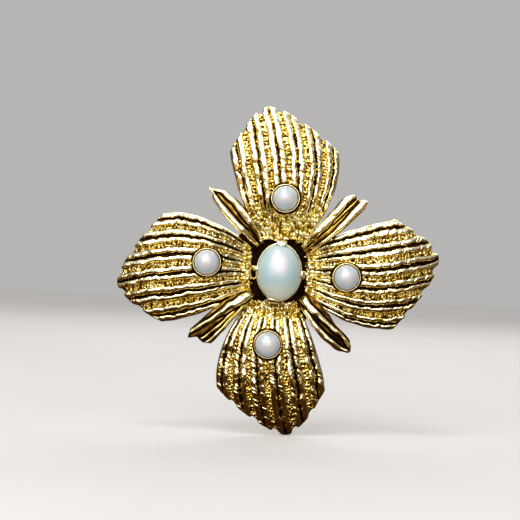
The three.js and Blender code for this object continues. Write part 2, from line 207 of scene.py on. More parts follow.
def make_piece(name, points, faces, relief=None, sharp_degrees=None):
    """A Blender object from points in millimetres.

    "relief" gives its material a number for each point, which paints light and shade: painted shade at 0
    in a casting's recesses and painted highlight at 1 on its crests, and on the stone its painted
    rose-white glow, creamier low down.
    """
    mesh = bpy.data.meshes.new(name)
    mesh.from_pydata((np.asarray(points) * MM).tolist(), [], faces)
    if relief is not None:
        layer = mesh.attributes.new("relief", "FLOAT", "POINT")
        layer.data.foreach_set("value", np.asarray(relief, dtype=np.float32).ravel())
    mesh.validate()
    mesh.shade_smooth()
    if sharp_degrees is not None:
        mesh.set_sharp_from_angle(angle=math.radians(sharp_degrees))
    piece = bpy.data.objects.new(name, mesh)
    bpy.context.scene.collection.objects.link(piece)
    return piece


def place(piece, body, node, material):
    """Puts a finished piece on its body in place of a CAD node."""
    piece.data.materials.append(material)
    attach(piece, body)
    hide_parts(node)


def sheet_faces(rows, columns):
    """Faces of a closed sheet: its fine front grid, its coarser back grid and its edges."""
    step = BACK_STEP
    back_start = (rows + 1) * (columns + 1)
    back_columns = columns // step

    def front(i, j):
        return i * (columns + 1) + j

    def back(i, j):
        return back_start + (i // step) * (back_columns + 1) + j // step

    faces = []
    for i in range(rows):
        for j in range(columns):
            faces.append((front(i, j), front(i, j + 1), front(i + 1, j + 1), front(i + 1, j)))
    for i in range(0, rows, step):
        for j in range(0, columns, step):
            faces.append((back(i, j), back(i + step, j), back(i + step, j + step), back(i, j + step)))
    for i in range(0, rows, step):
        run = range(i, i + step + 1)
        faces.append(tuple(front(k, 0) for k in run) + (back(i + step, 0), back(i, 0)))
        faces.append(
            tuple(front(k, columns) for k in reversed(run)) + (back(i, columns), back(i + step, columns))
        )
    for j in range(0, columns, step):
        run = range(j, j + step + 1)
        faces.append(tuple(front(0, k) for k in reversed(run)) + (back(0, j), back(0, j + step)))
        faces.append(tuple(front(rows, k) for k in run) + (back(rows, j + step), back(rows, j)))
    return faces


def carved_sheet(x, out, height, rear, shade, back_shade):
    """Points, faces and relief (painted shade and highlight) of a closed sheet, fine in front and coarser
    behind.
    """
    rows, columns = x.shape[0] - 1, x.shape[1] - 1
    front = np.stack([x, -height, out], axis=-1)
    back = np.stack([x, -rear, out], axis=-1)[::BACK_STEP, ::BACK_STEP]
    points = np.concatenate([front.reshape(-1, 3), back.reshape(-1, 3)])
    back_relief = np.full(back[..., 0].size, back_shade)
    relief = np.concatenate([np.clip(shade, 0.0, 1.0).ravel(), back_relief])
    return points, sheet_faces(rows, columns), relief


def edge_fall(inward):
    """How far a rounded edge has fallen: 1 at the very edge and 0 where inward reaches 1."""
    return 1.0 - np.sqrt(1.0 - (1.0 - inward) ** 2)


def joined(*groups):
    """The points and faces of several shapes as those of one."""
    points, faces, start = [], [], 0
    for group_points, group_faces in groups:
        points.append(group_points)
        faces += [tuple(index + start for index in face) for face in group_faces]
        start += len(group_points)
    return np.concatenate(points), faces


def ring_faces(rings, segments, start=0, closed=True):
    """Faces between rings of points, from point "start" on; a closed tube's last ring meets its first."""
    faces = []
    for ring in range(rings if closed else rings - 1):
        a, b = start + ring * segments, start + (ring + 1) % rings * segments
        for k in range(segments):
            after = (k + 1) % segments
            faces.append((a + k, b + k, b + after, a + after))
    return faces


def swept_oval(profile, half_width, half_height, segments):
    """A closed (offset, height) outline swept round an oval of these half sizes."""
    points = []
    for offset, height in profile:
        for k in range(segments):
            angle = 2 * math.pi * k / segments
            x = (half_width + offset) * math.sin(angle)
            z = (half_height + offset) * math.cos(angle)
            points.append((x, -height, z))
    return np.array(points), ring_faces(len(profile), segments)


def dome(radius, base, height, steps, fullness=1.0):
    """(radius, height) corners of a dome, from its girdle up to its top."""
    angles = [k / steps * math.pi / 2 for k in range(steps + 1)]
    return [(radius * math.cos(angle) ** fullness, base + height * math.sin(angle)) for angle in angles]


def lathe(profile, segments, centre=(0.0, 0.0), wobble=0.0, seed=0):
    """Points and faces of a shape turned about the Y axis; its profile starts and ends on the axis."""
    points = [(centre[0], -profile[0][1], centre[1])]
    angles = np.arange(segments) * 2.0 * math.pi / segments
    out = 1.0 + wobble * waver(np.arange(segments) * 6.0 / segments, seed)
    for radius, height in profile[1:-1]:
        for angle, factor in zip(angles, out):
            across = radius * factor
            points.append(
                (centre[0] + across * math.sin(angle), -height, centre[1] + across * math.cos(angle))
            )
    points.append((centre[0], -profile[-1][1], centre[1]))
    last = len(points) - 1
    last_ring = last - segments
    faces = ring_faces(len(profile) - 2, segments, start=1, closed=False)
    for k in range(segments):
        after = (k + 1) % segments
        faces.append((0, 1 + k, 1 + after))
        faces.append((last, last_ring + after, last_ring + k))
    return np.array(points), faces


def rounded(corners, radius=0.1, steps=3):
    """Rounds the inner corners of a profile with short arcs."""
    smooth = [corners[0]]
    for before, corner, after in zip(corners, corners[1:], corners[2:]):
        here = Vector(corner)
        to_before = Vector(before) - here
        to_after = Vector(after) - here
        cut = min(radius, to_before.length * 0.45, to_after.length * 0.45)
        start = here + to_before.normalized() * cut
        end = here + to_after.normalized() * cut
        for k in range(steps + 1):
            f = k / steps
            smooth.append(tuple(start.lerp(here, f).lerp(here.lerp(end, f), f)))
    smooth.append(corners[-1])
    return smooth


def softened_copy(node, name, width):
    """A copy of a CAD node's mesh with its edges rounded over, for the small machined fittings."""
    mesh = frame["nodes"][node].data.copy()
    piece = bpy.data.objects.new(name, mesh)
    bpy.context.scene.collection.objects.link(piece)
    mesh.materials.clear()
    weld = piece.modifiers.new("weld", "WELD")
    weld.merge_threshold = 0.001 * MM
    flat = piece.modifiers.new("flat", "DECIMATE")
    flat.decimate_type = "DISSOLVE"
    flat.angle_limit = math.radians(1.0)
    bevel = piece.modifiers.new("bevel", "BEVEL")
    bevel.width = width * MM
    bevel.segments = 3
    bevel.limit_method = "ANGLE"
    bevel.angle_limit = math.radians(35.0)
    apply_modifiers(piece)
    piece.data.shade_smooth()
    piece.data.set_sharp_from_angle(angle=math.radians(40.0))
    return piece


def apply_modifiers(piece):
    """Gives a piece the mesh that its modifiers make, and drops them."""
    graph = bpy.context.evaluated_depsgraph_get()
    finished = bpy.data.meshes.new_from_object(piece.evaluated_get(graph))
    piece.modifiers.clear()
    piece.data = finished


# -------------------- materials


class Nodes:
    """Short calls for building the node tree of a material or a world round its main shader."""

    def __init__(self, owner, shader="Principled BSDF"):
        owner.use_nodes = True
        self.tree = owner.node_tree
        self.shader = self.tree.nodes[shader]

    def add(self, kind, **settings):
        node = self.tree.nodes.new(kind)
        for key, value in settings.items():
            setattr(node, key, value)
        return node

    def join(self, out, into):
        self.tree.links.new(out, into)

    def feed(self, name, out):
        self.join(out, self.shader.inputs[name])

    def set(self, **values):
        for key, value in values.items():
            self.shader.inputs[key.replace("_", " ")].default_value = value

    def noise(self, size_mm, detail=3.0, roughness=0.55):
        """Noise in the object's own coordinates, with features about size_mm across."""
        coords = self.add("ShaderNodeTexCoord")
        noise = self.add("ShaderNodeTexNoise")
        noise.inputs["Scale"].default_value = 1.0 / (size_mm * MM)
        noise.inputs["Detail"].default_value = detail
        noise.inputs["Roughness"].default_value = roughness
        self.join(coords.outputs["Object"], noise.inputs["Vector"])
        return noise.outputs["Fac"]

    def coordinate(self, space, axis):
        """One axis of the coordinates in a space such as "Object"."""
        coords = self.add("ShaderNodeTexCoord")
        split = self.add("ShaderNodeSeparateXYZ")
        self.join(coords.outputs[space], split.inputs["Vector"])
        return split.outputs[axis]

    def ramp(self, factor, stops):
        ramp = self.add("ShaderNodeValToRGB")
        while len(ramp.color_ramp.elements) < len(stops):
            ramp.color_ramp.elements.new(0.5)
        for element, (position, color) in zip(ramp.color_ramp.elements, stops):
            element.position = position
            element.color = (*color, 1.0)
        self.join(factor, ramp.inputs["Fac"])
        return ramp.outputs["Color"]

    def spread(self, factor, low, high, from_low=0.0, from_high=1.0):
        span = self.add("ShaderNodeMapRange")
        span.inputs["From Min"].default_value = from_low
        span.inputs["From Max"].default_value = from_high
        span.inputs["To Min"].default_value = low
        span.inputs["To Max"].default_value = high
        self.join(factor, span.inputs["Value"])
        return span.outputs["Result"]

    def sum(self, first, second, share):
        """first + share * second"""
        math_node = self.add("ShaderNodeMath", operation="MULTIPLY_ADD")
        self.join(second, math_node.inputs[0])
        math_node.inputs[1].default_value = share
        self.join(first, math_node.inputs[2])
        return math_node.outputs["Value"]

    def bump(self, height, depth_mm):
        bump_node = self.add("ShaderNodeBump")
        bump_node.inputs["Strength"].default_value = 1.0
        bump_node.inputs["Distance"].default_value = depth_mm * MM
        self.join(height, bump_node.inputs["Height"])
        self.feed("Normal", bump_node.outputs["Normal"])

    def show_to(self, ray, other):
        """Lets one kind of ray meet another shader in place of the main one."""
        surface = self.shader.outputs[0].links[0].to_socket
        seen = self.add("ShaderNodeLightPath")
        mix = self.add("ShaderNodeMixShader")
        self.join(seen.outputs[ray], mix.inputs["Fac"])
        self.join(self.shader.outputs[0], mix.inputs[1])
        self.join(other, mix.inputs[2])
        self.join(mix.outputs["Shader"], surface)


def plated_gold(name, stops, rough, pore_mm, pore_depth):
    """Gold plate coloured by its relief: painted shade darkens the recesses and painted highlight pales the
    crests, with random patches of tone, fine pores and uneven polish.
    """
    material = bpy.data.materials.new(name)
    nodes = Nodes(material)
    relief = nodes.add("ShaderNodeAttribute", attribute_name="relief").outputs["Fac"]
    patches = nodes.noise(1.1, detail=4.0)
    # Painted shade where the relief is low and painted highlight where it is high, shifted by random
    # patches of tone.
    painted_shade_and_patches = nodes.sum(relief, nodes.spread(patches, -0.5, 0.5), 0.25)
    nodes.feed("Base Color", nodes.ramp(painted_shade_and_patches, stops))
    nodes.feed("Roughness", nodes.sum(nodes.spread(painted_shade_and_patches, *rough), nodes.noise(0.35), 0.08))
    nodes.set(Metallic=1.0)
    nodes.bump(nodes.noise(pore_mm, detail=5.0, roughness=0.65), pore_depth)
    return material


def cast_gold():
    stops = [
        (0.0, (0.028, 0.009, 0.001)),
        (0.2, (0.12, 0.045, 0.005)),
        (0.42, (0.58, 0.39, 0.035)),
        (0.65, (0.89, 0.755, 0.25)),
        (1.0, (0.96, 0.92, 0.68)),
    ]
    return plated_gold("cast_gold", stops, (0.3, 0.05), 0.16, 0.02)


def polished_gold():
    stops = [
        (0.0, (0.02, 0.008, 0.002)),
        (0.22, (0.2, 0.1, 0.014)),
        (0.45, (0.8, 0.61, 0.12)),
        (1.0, (0.97, 0.92, 0.64)),
    ]
    return plated_gold("polished_gold", stops, (0.26, 0.05), 0.3, 0.015)


def antiqued_gold():
    # Near black at low relief for the plate front's painted shade, gold at high relief for its back.
    stops = [
        (0.0, (0.008, 0.003, 0.002)),
        (0.4, (0.03, 0.013, 0.005)),
        (0.75, (0.5, 0.3, 0.08)),
        (1.0, (0.8, 0.56, 0.18)),
    ]
    return plated_gold("antiqued_gold", stops, (0.55, 0.28), 0.22, 0.03)


def satin_gold(name, color, worn_color, rough):
    """Plain gold plate on the fittings, rubbed paler in patches and finely scratched."""
    material = bpy.data.materials.new(name)
    nodes = Nodes(material)
    wear = nodes.noise(1.6, detail=4.0)
    nodes.feed("Base Color", nodes.ramp(wear, [(0.35, color), (0.65, worn_color)]))
    nodes.feed("Roughness", nodes.spread(nodes.noise(0.5), *rough))
    nodes.set(Metallic=1.0)
    nodes.bump(nodes.noise(0.12, detail=4.0), 0.008)
    return material


def translucent(nodes, tone, stops, polish, coat_roughness, coat_ior):
    """The milky body under a soft clear coat that pearls and stone share."""
    nodes.feed("Base Color", nodes.ramp(tone, stops))
    nodes.feed("Roughness", polish)
    nodes.set(Subsurface_Weight=1.0, Subsurface_Scale=2.0 * MM, Subsurface_Radius=(1.0, 1.0, 1.0))
    nodes.set(Coat_Weight=1.0, Coat_Roughness=coat_roughness, Coat_IOR=coat_ior)


def nacre():
    """Coated imitation pearl: satin white with faint bluish and rose clouds, painted creamy at its girdle
    as a warm reflection of the gold cup.
    """
    material = bpy.data.materials.new("nacre")
    nodes = Nodes(material)
    depth = nodes.coordinate("Object", "Y")
    height = nodes.spread(depth, 0.0, 1.0, -(CUP_RIM - 0.2) * MM, -PEARL_TOP * MM)
    painted_light_and_clouds = nodes.sum(height, nodes.spread(nodes.noise(1.3), -0.5, 0.5), 0.9)
    # Painted light by height: a creamy warm reflection of the gold cup at the girdle, greyer blue above it
    # and paler at the crown.
    stops = [
        (0.05, (0.7, 0.62, 0.52)),
        (0.35, (0.46, 0.47, 0.46)),
        (0.65, (0.38, 0.45, 0.5)),
        (0.95, (0.5, 0.48, 0.48)),
    ]
    polish = nodes.spread(nodes.noise(0.4), 0.26, 0.36)
    translucent(nodes, painted_light_and_clouds, stops, polish, coat_roughness=0.23, coat_ior=1.75)
    nodes.bump(nodes.noise(0.5, detail=2.0), 0.006)
    return material


def pearlescent_stone():
    """Pale aqua stone round a rose-white glow that is a painted soft highlight, creamier low down; its
    relief carries that painted glow and the creamier lower part.
    """
    material = bpy.data.materials.new("pearlescent_stone")
    nodes = Nodes(material)
    painted_glow_and_cream = nodes.add("ShaderNodeAttribute", attribute_name="relief").outputs["Fac"]
    painted_glow_cream_clouds = nodes.sum(painted_glow_and_cream, nodes.spread(nodes.noise(2.2, detail=2.0), -0.5, 0.5), 0.35)
    stops = [
        (0.0, (0.6, 0.58, 0.49)),
        (0.22, (0.46, 0.54, 0.5)),
        (0.45, (0.35, 0.48, 0.49)),
        (0.65, (0.41, 0.49, 0.52)),
        (1.0, (0.62, 0.56, 0.59)),
    ]
    polish = nodes.spread(nodes.noise(1.2), 0.3, 0.4)
    translucent(nodes, painted_glow_cream_clouds, stops, polish, coat_roughness=0.32, coat_ior=1.65)
    nodes.bump(nodes.noise(1.5, detail=1.0), 0.01)
    return material


# -------------------- petals

PETAL_WIDEST = 21.0
PETAL_HALF_WIDTH = 9.6
PETAL_NARROWING = 5.6  # from where it is widest to its foot
TIP_ACROSS = -0.11  # the tip is a little to the left of the middle
LEFT_CORNER_DROP = 8.1
RIGHT_CORNER_DROP = 7.8
BANDS = 6
CHANNEL_SHARE = 0.42  # of a band's width
BAND_WIDTH = 2.0 / (BANDS + (BANDS - 1) * CHANNEL_SHARE)  # places across the petal run from -1 to 1
BAND_PITCH = BAND_WIDTH * (1.0 + CHANNEL_SHARE)
CHANNEL_DEPTH = 0.6
PIT_SPACING = 1.15
BEAD_ROWS = ((-0.029, 0.5, 0.26), (0.0, 0.56, 0.28), (0.03, 0.47, 0.25))  # place, spacing and radius
PETAL_ROWS = 264
PETAL_COLUMNS = 232
EDGE_ROUNDING = 0.42


def petal_half_width(out):
    short = np.maximum(0.0, PETAL_WIDEST - out) / (PETAL_WIDEST - PETAL_INNER)
    return PETAL_HALF_WIDTH - PETAL_NARROWING * short**1.9


def petal_middle(out):
    """The petal's centre line bows a little to the right."""
    return 0.8 - 0.0095 * (out - 12.5) ** 2


def petal_rim(across):
    """How far out the petal runs, from its tip down to its two corners."""
    from_tip = across - TIP_ACROSS
    left = LEFT_CORNER_DROP * np.clip(-from_tip / (1.0 + TIP_ACROSS), 0.0, 1.0) ** 1.55
    right = RIGHT_CORNER_DROP * np.clip(from_tip / (1.0 - TIP_ACROSS), 0.0, 1.0) ** 1.55
    return PETAL_TIP - left - right


def petal_height(out, across):
    """The front before it is carved: up to a crown, then down to the tip and the sides."""
    climb = (PETAL_CROWN - PETAL_BASE) * rise(out, PETAL_INNER, CROWN_START)
    past = np.maximum(0.0, out - CROWN_END) / (PETAL_TIP - CROWN_END)
    droop = (PETAL_CROWN - PETAL_TIP_HEIGHT) * past**2
    return PETAL_BASE + climb - droop - SIDE_DROP * across**2 * rise(out, 7.0, 15.0)


def band_place(t):
    """Which band a point is nearest to, and how far from its middle, 1 being its edge."""
    number = np.clip(np.round((t + 1.0 - BAND_WIDTH / 2) / BAND_PITCH), 0, BANDS - 1)
    centre = -1.0 + BAND_WIDTH / 2 + BAND_PITCH * number
    return number, (t - centre) / (BAND_WIDTH / 2)


def band_relief(out, t, near_rim, seed, fullness):
    """Height and shade of the bands: two wavy ridges each, and a cracked, pitted groove between them."""
    wander = 0.012 * grain(out / 2.2, t * 2.5, seed) + 0.011 * grain(out / 0.7, t * 9.0, seed + 1)
    number, b = band_place(t + wander)
    line = number * 2.0 + (b > 0.0)
    crest = 0.6 + 0.07 * grain(out / 1.0, line * 3.0, seed + 2)
    breadth = fullness + 0.1 * grain(out / 0.6, line * 3.0, seed + 18)
    swell = 1.0 + 0.22 * grain(out / 1.3, line * 3.0, seed + 3)
    from_crest = (np.abs(b) - crest) / breadth
    round_top = np.sqrt(np.maximum(0.0, 1.0 - np.abs(from_crest) ** 2.4))
    on_band = 1.0 - rise(np.abs(b), 0.98, 1.16)
    nearest = np.round(out / PIT_SPACING)
    pits = np.zeros(np.broadcast(out, t).shape)
    for step in (-1, 0, 1):
        k = nearest + step
        along = (k + 0.3 * scatter(seed + 4, k, number)) * PIT_SPACING
        length = 0.48 + 0.2 * scatter(seed + 13, k, number)
        across = 0.2 + 0.08 * scatter(seed + 14, k, number)
        aside = 0.08 * scatter(seed + 15, k, number)
        gap = ((out - along) / length) ** 2 + ((b - aside) / across) ** 2
        pits = np.maximum(pits, np.exp(-gap * gap) - 0.8 * np.exp(-9.0 * gap * gap))
    crack = bump(b - 0.07 * waver(out / 0.6, seed + 16), 0.1)
    crack = crack * (0.6 + 0.4 * waver(out / 0.8 + 7.0 * number, seed + 17))
    groove = np.maximum(pits, 5.0 * (0.66 - fullness) * crack) * (1.0 - 0.7 * near_rim)
    dent = bump(grain(out / 1.1 + 0.5 * b, line * 3.0, seed + 5) - 0.55, 0.09)
    height = 0.5 * swell * round_top - 0.42 * groove - 0.15 * dent
    # Painted highlight on the ridge tops and painted shade in the groove, the dents and the channels.
    shade = 0.08 + 0.92 * round_top - 0.9 * groove - 0.3 * dent
    return on_band * height - CHANNEL_DEPTH * (1.0 - on_band), on_band * shade + 0.1 * (1.0 - on_band)


def bead_relief(out, t, width, seed):
    """Height and shade of the three rows of grains that fill each channel between the bands."""
    tallest = np.zeros(np.broadcast(out, t).shape)
    for channel in range(BANDS - 1):
        centre = -1.0 + BAND_WIDTH + channel * BAND_PITCH + (BAND_PITCH - BAND_WIDTH) / 2
        for place_across, spacing, size in BEAD_ROWS:
            lane = channel * 3.0 + 50.0 * spacing
            nearest = np.round(out / spacing)
            for step in (-1, 0, 1):
                k = nearest + step
                along = (k + 0.3 * scatter(seed + 6, k, lane)) * spacing
                across = (t - centre - place_across) * width - 0.12 * scatter(seed + 7, k, lane)
                radius = size * (0.9 + 0.3 * scatter(seed + 8, k, lane))
                gap = ((out - along) ** 2 + across**2) / radius**2
                tallest = np.maximum(tallest, radius * np.sqrt(np.maximum(0.0, 1.0 - gap)))
    # The grains' tops are painted bright as highlight and the gaps between them painted with shade.
    return 1.15 * tallest, 0.04 + 3.0 * tallest


def petal_ends(t, across, seed):
    """How far out each column of points starts and ends; the rim has a lobe for each band."""
    on_band = 1.0 - rise(np.abs(band_place(t)[1]), 0.7, 1.25)
    rim = petal_rim(across) + 0.55 * (on_band - 0.75) * (1.0 - np.abs(t) ** 6) + 0.1 * waver(t * 7.0, seed)
    base = PETAL_INNER + 0.2 * waver(t * 6.0, seed + 21) + 0.16 * waver(t * 17.0, seed + 22)
    return base, rim


def petal_carving(x, out, t, width, rim, seed, rough_until, fullness):
    """Height and shade of the whole front: bands, channels of grains and a pebbled foot."""
    near_rim = rise(out, rim - 1.5, rim - 0.4)
    granular = 1.0 - rise(out, rough_until - 3.0, rough_until)
    relief, shade = band_relief(out, t, near_rim, seed, fullness)
    beads, bead_shade = bead_relief(out, t, width, seed)
    in_channel = relief < beads - CHANNEL_DEPTH
    relief = np.where(in_channel, beads - CHANNEL_DEPTH, relief) * (1.0 - 0.7 * granular)
    shade = np.where(in_channel, bead_shade, shade)
    lumps = grain(x / 0.5, out / 0.5, seed + 10) + 0.6 * grain(x / 0.24, out / 0.24, seed + 11)
    pebbled = pebbles(x * 1.2, out * 0.75, 0.62, 0.42, seed + 20)
    relief = relief + 0.03 * lumps + granular * (1.1 * pebbled - 0.1)
    # The pebbled foot gets painted highlight on its pebble tops and painted shade between them.
    shade = shade * (1.0 - granular) + granular * (0.3 + 2.2 * pebbled)
    return relief, shade


def petal_piece(side, quarter, seed, rough_until, fullness):
    """One petal casting with its carved front, rounded edges and plainer back."""
    t = np.linspace(-1.0, 1.0, PETAL_COLUMNS + 1)[None, :]
    s = np.linspace(0.0, 1.0, PETAL_ROWS + 1)[:, None]
    across = t + 0.06 * (1.0 - t * t)
    base, rim = petal_ends(t, across, seed)
    out = base + (rim - base) * s
    width = petal_half_width(out) * (1.0 + 0.012 * waver(out / 2.0, seed + 9) * np.abs(t) ** 3)
    x = petal_middle(out) + width * across
    relief, shade = petal_carving(x, out, t, width, rim, seed, rough_until, fullness)

    pearl_x, pearl_out = pearl_place(side, quarter)
    shift_x, shift_out = petal_shift(side, quarter)
    away = np.hypot(x - pearl_x + shift_x, out - pearl_out + shift_out)
    relief = relief * rise(away, CUP_RADIUS + 0.02, CUP_RADIUS + 0.5) - 0.35 * bump(away - CUP_RADIUS, 0.22)
    # Painted shade darkens the petal round the foot of its pearl cup.
    shade = shade * (0.15 + 0.85 * rise(away, CUP_RADIUS + 0.05, CUP_RADIUS + 0.45))
    height = petal_height(out, across) + relief
    height = np.where(away < CUP_RADIUS + 0.06, np.minimum(height, CUP_SEAT - 0.08), height)

    to_edge = np.minimum((1.0 - np.abs(t)) * width, np.minimum(s, 1.0 - s) * (rim - base))
    inward = np.clip(to_edge / EDGE_ROUNDING, 0.0, 1.0)
    height = height - EDGE_ROUNDING * edge_fall(inward)

    rear_lumps = 0.05 * grain(x / 1.3, out / 1.3, seed + 12)
    rear = petal_height(out, across) - PETAL_THICKNESS + rear_lumps * rise(out, 9.0, 12.0)
    rear = np.minimum(rear + 0.25 * (1.0 - inward), height - 0.25)

    points, faces, relief = carved_sheet(x, out, height, rear, shade, back_shade=0.66)
    points = turned_clockwise(points + np.array([shift_x, 0.0, shift_out]), 90.0 * quarter)
    return make_piece(f"carved_petal_{side}", points, faces, relief)


def build_petals(material):
    rough_until = {"top": 11.5, "right": 8.5, "bottom": 9.5, "left": 8.0}
    fullness = {"top": 0.59, "right": 0.48, "bottom": 0.54, "left": 0.47}
    for quarter, side in enumerate(SIDES):
        piece = petal_piece(side, quarter, 11.0 + 17.0 * quarter, rough_until[side], fullness[side])
        place(piece, "flower", f"petal_{side}", material)


# -------------------- leaves

LEAF_INNER = 5.6
LEAF_THICKNESS = 0.9
LEAF_EDGE_WIDTH = 0.55
LEAF_EDGE_DROP = 0.7
LEAF_FOOT_OUT = 8.4
LEAF_ROWS = 132
LEAF_COLUMNS = 88


def along_list(values, share):
    """Smooth value of a short list spread evenly from 0 to 1."""
    at = np.clip(share, 0.0, 1.0) * (len(values) - 1)
    low = np.minimum(np.floor(at).astype(int), len(values) - 2)
    values = np.asarray(values, float)
    mix = rise(at - low, 0.0, 1.0)
    return values[low] * (1.0 - mix) + values[low + 1] * mix


def leaf_underside(out):
    """The leaf climbs off the plate to clear the petals' edges, and dips at its tip."""
    return 3.0 + 1.1 * rise(out, LEAF_INNER, 10.0) - 0.6 * rise(out, 14.0, 20.0)


def leaf_ridges(x, out, share, ridges, seed):
    """How high the rolled ridges stand and how deep the creases beside them are, from 0 to 1."""
    ridge_height = np.zeros(x.shape)
    crease = np.zeros(x.shape)
    for number, (places, half_widths, starts) in enumerate(ridges):
        wander = 0.06 * waver(out / 1.7, seed + number)
        half_width = along_list(half_widths, share) * (1.0 + 0.12 * waver(out / 1.3, seed + 5 + number))
        gap = np.abs(x - along_list(places, share) - wander) / half_width
        begun = rise(share, starts - 0.02, starts + 0.08)
        rolled = np.maximum(0.0, 1.0 - gap**2.5) ** 0.4 * begun
        ridge_height = np.maximum(ridge_height, rolled * np.minimum(1.0, half_width / 0.6))
        crease = np.maximum(crease, bump((gap - 1.1) * half_width, 0.14) * begun)
    return ridge_height, crease * (1.0 - ridge_height)


def leaf_piece(name, axis, foot, reach, low, high, ridges, hollow, seed):
    """A leaf with rolled ridges over troughs darkened with painted shade, and a foot down to the plate.

    "low" and "high" are where its two edges run, sideways from its axis, from its inner end to its
    tip; each ridge has lists of the same kind for its place and half width, and the share where it
    starts. "hollow" is how deep the troughs are and how dark their painted shade is, from 0 to 1.
    """
    t = np.linspace(-1.0, 1.0, LEAF_COLUMNS + 1)[None, :]
    s = np.linspace(0.0, 1.0, LEAF_ROWS + 1)[:, None]
    across = (t + 1.0) / 2.0
    ends = along_list(reach, across)
    out = LEAF_INNER + (ends - LEAF_INNER) * s
    share = (out - LEAF_INNER) / (max(reach) - LEAF_INNER)
    low_edge, high_edge = along_list(low, share), along_list(high, share)
    x = low_edge + (high_edge - low_edge) * across

    ridge_height, crease = leaf_ridges(x, out, share, ridges, seed)
    relief = 0.55 * ridge_height - 0.3 * crease - 0.35 * hollow * (1.0 - ridge_height)
    mottle = grain(x / 0.45, out / 0.9, seed + 3)
    relief = relief + 0.05 * mottle + 0.08 * grain(x / 0.9, out / 2.2, seed + 4) + 0.1

    to_edge = np.minimum(x - low_edge, high_edge - x)
    to_edge = np.minimum(to_edge, np.minimum(s, 1.0 - s) * (ends - LEAF_INNER))
    inward = np.clip(to_edge / LEAF_EDGE_WIDTH, 0.0, 1.0)
    rounding = LEAF_EDGE_DROP * edge_fall(inward)
    height = leaf_underside(out) + LEAF_THICKNESS - 0.15 + relief - rounding
    rear = np.minimum(leaf_underside(out) + 0.2 * (1.0 - inward), height - 0.12)

    # Painted light: painted shade in the troughs and creases, painted highlight on the ridges and a painted
    # bright rim on the rounded edges; the mottle is uneven tone.
    trough = 0.5 - 0.45 * hollow
    shade = trough + (1.05 - trough) * ridge_height - 0.5 * crease + 0.2 * rise(1.0 - inward, 0.2, 0.9)
    shade = shade + 0.14 * mottle * (1.0 - ridge_height)
    points, faces, shade = carved_sheet(x, out, height, rear, shade, back_shade=0.6)
    points, faces = joined((turned_clockwise(points, axis), faces), leaf_foot(foot))
    foot_shade = np.full(len(points) - len(shade), 0.35)
    return make_piece(name, points, faces, np.concatenate([shade, foot_shade]))


def leaf_foot(clockwise):
    """An oval post, splayed at the backing plate, that holds the leaf up from underneath."""
    bottom, top = PLATE_FRONT + 0.03, leaf_underside(9.2) + 0.4
    outline = [(0.0, bottom), (0.72, bottom), (0.58, bottom + 0.25), (0.55, top), (0.0, top)]
    points, faces = lathe(outline, 20)
    points = points * np.array([0.9, 1.0, 1.35]) + np.array([0.0, 0.0, LEAF_FOOT_OUT])
    return turned_clockwise(points, clockwise), faces


LEAF_SHAPES = {
    "leaf_upper_right": dict(
        axis=46.0,
        foot=45.0,
        reach=(17.2, 18.7, 18.9, 18.8, 19.5, 19.8, 18.7),
        low=(-0.9, -1.4, -1.5, -1.8, -2.15, -1.9),
        high=(1.1, 1.6, 1.95, 2.05, 1.95, 1.9),
        hollow=0.45,
        ridges=[
            ((-0.5, -0.8, -0.75, -1.05, -1.4, -1.35), (0.5, 0.7, 0.75, 0.65, 0.6, 0.6), 0.0),
            ((0.2, 0.1, 0.0, -0.1, -0.2, -0.2), (0.2, 0.2, 0.2, 0.22, 0.22, 0.2), 0.45),
            ((0.7, 1.2, 1.4, 1.3, 1.15, 1.0), (0.3, 0.35, 0.4, 0.5, 0.7, 0.8), 0.1),
        ],
    ),
    "leaf_lower_right": dict(
        axis=137.0,
        foot=137.0,
        reach=(17.3, 18.2, 18.7, 18.5, 17.4),
        low=(-1.3, -2.0, -1.8, -1.45, -1.6, -1.35),
        high=(0.7, 1.5, 1.9, 2.0, 1.6, 0.75),
        hollow=0.9,
        ridges=[
            ((-0.15, -0.05, -0.3, -0.65, -0.95, -0.75), (0.7, 0.62, 0.5, 0.42, 0.38, 0.38), 0.0),
            ((1.0, 1.25, 1.4, 1.3, 0.95, 0.2), (0.3, 0.5, 0.58, 0.55, 0.52, 0.5), 0.12),
        ],
    ),
    "leaf_lower_left": dict(
        axis=229.5,
        foot=228.0,
        reach=(17.2, 18.2, 18.3, 19.6, 18.4),
        low=(-0.55, -1.1, -1.5, -2.0, -2.35, -1.8),
        high=(0.9, 1.75, 2.2, 2.15, 2.0, 1.9),
        hollow=0.85,
        ridges=[
            ((0.0, 0.4, 0.7, 0.95, 1.35, 1.55), (0.6, 0.8, 0.7, 0.42, 0.36, 0.36), 0.0),
            ((-0.2, -0.3, -0.5, -0.7, -0.7, -0.5), (0.3, 0.3, 0.3, 0.28, 0.28, 0.28), 0.3),
            ((-0.3, -0.75, -1.1, -1.5, -1.75, -1.3), (0.25, 0.3, 0.32, 0.36, 0.42, 0.45), 0.15),
        ],
    ),
    "leaf_upper_left": dict(
        axis=320.0,
        foot=320.0,
        reach=(17.5, 17.8, 19.2, 19.3, 19.1),
        low=(-0.4, -0.8, -1.35, -1.55, -1.35, -0.95),
        high=(1.2, 1.9, 2.2, 2.15, 1.5, -0.4),
        hollow=0.6,
        ridges=[
            ((0.9, 1.3, 1.45, 1.4, 0.95, -0.5), (0.35, 0.5, 0.6, 0.55, 0.45, 0.3), 0.0),
            ((-0.05, -0.25, -0.75, -0.9, -0.75, -0.65), (0.4, 0.55, 0.65, 0.65, 0.5, 0.35), 0.0),
        ],
    ),
}


def build_leaves(material):
    for number, (node, shape) in enumerate(LEAF_SHAPES.items()):
        piece = leaf_piece(f"polished_{node}", seed=90.0 + 7.0 * number, **shape)
        place(piece, "flower", node, material)


# -------------------- pearls and cups


def pearl_centre(side):
    """Where a side's pearl stands, in X and Z."""
    low, high = extent(f"pearl_cup_{side}")
    return (low.x + high.x) / 2, (low.z + high.z) / 2


